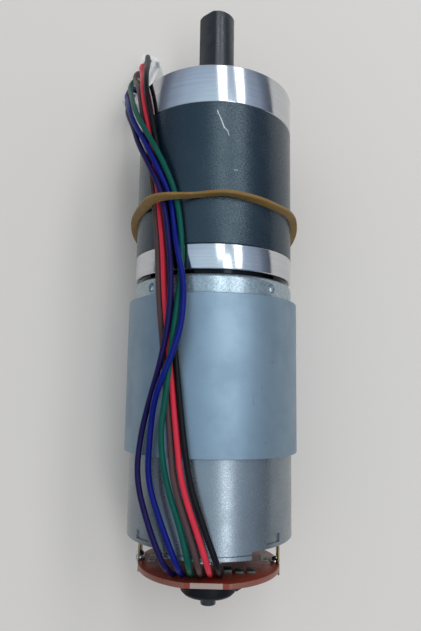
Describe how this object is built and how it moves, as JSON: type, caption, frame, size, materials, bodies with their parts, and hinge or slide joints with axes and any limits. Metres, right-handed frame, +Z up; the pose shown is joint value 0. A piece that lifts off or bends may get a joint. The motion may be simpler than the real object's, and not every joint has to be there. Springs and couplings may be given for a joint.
{
  "type": "geared dc motor with encoder",
  "caption": "Cylindrical brushed dc motor with a planetary gearbox, a D-cut output shaft, a rear Hall encoder board and a bundled wire lead with a plug.",
  "frame": {"origin": "on the output shaft's axis, at the front mounting face of the gearbox", "axes": "+Y along the output shaft, out of the gearbox; +Z up, towards the side where the lead leaves the encoder board; the object lies on its side, as in the picture"},
  "size_m": [0.0524, 0.1609, 0.0482],
  "materials": {
    "turned_aluminium": "bright turned",
    "dark_steel": "satin blue-black oxide",
    "zinc_plate": "satin zinc plate",
    "pale_zinc_plate": "satin pale blue zinc plate",
    "black_steel": "satin black oxide",
    "gear_steel": "machined",
    "bearing_steel": "polished",
    "screw_steel": "black oxide",
    "shaft_steel": "ground",
    "lamination_steel": "stamped stack",
    "ferrite": "matt sintered",
    "copper": "enamelled wire",
    "brass": "stamped",
    "carbon": "matt",
    "insulator": "moulded",
    "bell_plastic": "moulded",
    "board_laminate": "red-brown phenolic board",
    "solder": "bright solder",
    "black_epoxy": "moulded",
    "pads": "pale",
    "magnet_black": "bonded magnet",
    "violet_pvc": "gloss",
    "blue_pvc": "gloss",
    "green_pvc": "gloss",
    "brown_pvc": "gloss",
    "red_pvc": "gloss",
    "black_pvc": "gloss",
    "white_nylon": "satin",
    "tin_plate": "tinned",
    "tan_rubber": "translucent tan"
  },
  "bodies": {
    "casing": {"front_cap": "turned_aluminium", "cap_screws": "screw_steel", "gear_case": "dark_steel", "adapter_plate": "turned_aluminium", "adapter_screws": "screw_steel", "motor_screws": "screw_steel", "output_bearing_outers": "bearing_steel", "bearing_spacer": "gear_steel", "thrust_washer": "gear_steel", "motor_can": "zinc_plate", "flux_ring": "pale_zinc_plate", "end_bell": "bell_plastic", "field_magnets": "ferrite", "magnet_clips": "shaft_steel", "motor_bearing_outers": "bearing_steel", "brushes": "carbon", "brush_holders": "brass", "brush_springs": "shaft_steel", "motor_terminals": "brass", "encoder_board": "board_laminate", "solder_joints": "solder", "hall_sensors": "black_epoxy", "board_parts": "pads", "wire_violet": "violet_pvc", "wire_blue": "blue_pvc", "wire_green": "green_pvc", "wire_brown": "brown_pvc", "wire_red": "red_pvc", "wire_black": "black_pvc", "connector_housing": "white_nylon", "connector_contacts": "tin_plate", "rubber_band": "tan_rubber"},
    "rotor": {"motor_shaft": "shaft_steel", "armature_core": "lamination_steel", "armature_windings": "copper", "armature_insulators": "insulator", "commutator": "copper", "motor_bearing_inners": "bearing_steel", "motor_pinion": "gear_steel", "encoder_magnet": "magnet_black", "magnet_hub": "black_steel"},
    "first_carrier_body": {"first_carrier": "gear_steel", "first_carrier_pins": "shaft_steel"},
    "second_carrier_body": {"second_carrier": "gear_steel", "second_carrier_pins": "shaft_steel"},
    "output": {"output_shaft": "black_steel", "shaft_circlip": "black_steel", "output_carrier": "gear_steel", "output_carrier_pins": "shaft_steel", "output_bearing_inners": "bearing_steel"},
    "first_planet_body_1": {"first_planet_1": "gear_steel"},
    "first_planet_body_2": {"first_planet_2": "gear_steel"},
    "first_planet_body_3": {"first_planet_3": "gear_steel"},
    "second_planet_body_1": {"second_planet_1": "gear_steel"},
    "second_planet_body_2": {"second_planet_2": "gear_steel"},
    "second_planet_body_3": {"second_planet_3": "gear_steel"},
    "third_planet_body_1": {"third_planet_1": "gear_steel"},
    "third_planet_body_2": {"third_planet_2": "gear_steel"},
    "third_planet_body_3": {"third_planet_3": "gear_steel"}
  },
  "joints": [
    {"name": "rotor_spin", "type": "hinge", "parent": "casing", "child": "rotor", "pos_m": [0, -0.08, 0], "axis": [0, 1, 0], "continuous": true},
    {"name": "first_carrier_spin", "type": "hinge", "parent": "casing", "child": "first_carrier_body", "pos_m": [0, -0.037, 0], "axis": [0, 1, 0], "continuous": true},
    {"name": "second_carrier_spin", "type": "hinge", "parent": "casing", "child": "second_carrier_body", "pos_m": [0, -0.028, 0], "axis": [0, 1, 0], "continuous": true},
    {"name": "output_spin", "type": "hinge", "parent": "casing", "child": "output", "pos_m": [0, 0, 0], "axis": [0, 1, 0], "continuous": true},
    {"name": "first_planet_spin_1", "type": "hinge", "parent": "first_carrier_body", "child": "first_planet_body_1", "pos_m": [0, -0.04205, 0.01013], "axis": [0, 1, 0], "continuous": true},
    {"name": "first_planet_spin_2", "type": "hinge", "parent": "first_carrier_body", "child": "first_planet_body_2", "pos_m": [0.00877, -0.04205, -0.00506], "axis": [0, 1, 0], "continuous": true},
    {"name": "first_planet_spin_3", "type": "hinge", "parent": "first_carrier_body", "child": "first_planet_body_3", "pos_m": [-0.00877, -0.04205, -0.00506], "axis": [0, 1, 0], "continuous": true},
    {"name": "second_planet_spin_1", "type": "hinge", "parent": "second_carrier_body", "child": "second_planet_body_1", "pos_m": [0, -0.0328, 0.01013], "axis": [0, 1, 0], "continuous": true},
    {"name": "second_planet_spin_2", "type": "hinge", "parent": "second_carrier_body", "child": "second_planet_body_2", "pos_m": [0.00877, -0.0328, -0.00506], "axis": [0, 1, 0], "continuous": true},
    {"name": "second_planet_spin_3", "type": "hinge", "parent": "second_carrier_body", "child": "second_planet_body_3", "pos_m": [-0.00877, -0.0328, -0.00506], "axis": [0, 1, 0], "continuous": true},
    {"name": "third_planet_spin_1", "type": "hinge", "parent": "output", "child": "third_planet_body_1", "pos_m": [0, -0.02175, 0.01013], "axis": [0, 1, 0], "continuous": true},
    {"name": "third_planet_spin_2", "type": "hinge", "parent": "output", "child": "third_planet_body_2", "pos_m": [0.00877, -0.02175, -0.00506], "axis": [0, 1, 0], "continuous": true},
    {"name": "third_planet_spin_3", "type": "hinge", "parent": "output", "child": "third_planet_body_3", "pos_m": [-0.00877, -0.02175, -0.00506], "axis": [0, 1, 0], "continuous": true}
  ],
  "couplings": [
    {"joint": "first_carrier_spin", "follows": "rotor_spin", "ratio": 0.27778},
    {"joint": "second_carrier_spin", "follows": "rotor_spin", "ratio": 0.07716},
    {"joint": "output_spin", "follows": "rotor_spin", "ratio": 0.021433},
    {"joint": "first_planet_spin_1", "follows": "rotor_spin", "ratio": -0.90278},
    {"joint": "first_planet_spin_2", "follows": "rotor_spin", "ratio": -0.90278},
    {"joint": "first_planet_spin_3", "follows": "rotor_spin", "ratio": -0.90278},
    {"joint": "second_planet_spin_1", "follows": "rotor_spin", "ratio": -0.25077},
    {"joint": "second_planet_spin_2", "follows": "rotor_spin", "ratio": -0.25077},
    {"joint": "second_planet_spin_3", "follows": "rotor_spin", "ratio": -0.25077},
    {"joint": "third_planet_spin_1", "follows": "rotor_spin", "ratio": -0.069659},
    {"joint": "third_planet_spin_2", "follows": "rotor_spin", "ratio": -0.069659},
    {"joint": "third_planet_spin_3", "follows": "rotor_spin", "ratio": -0.069659}
  ]
}
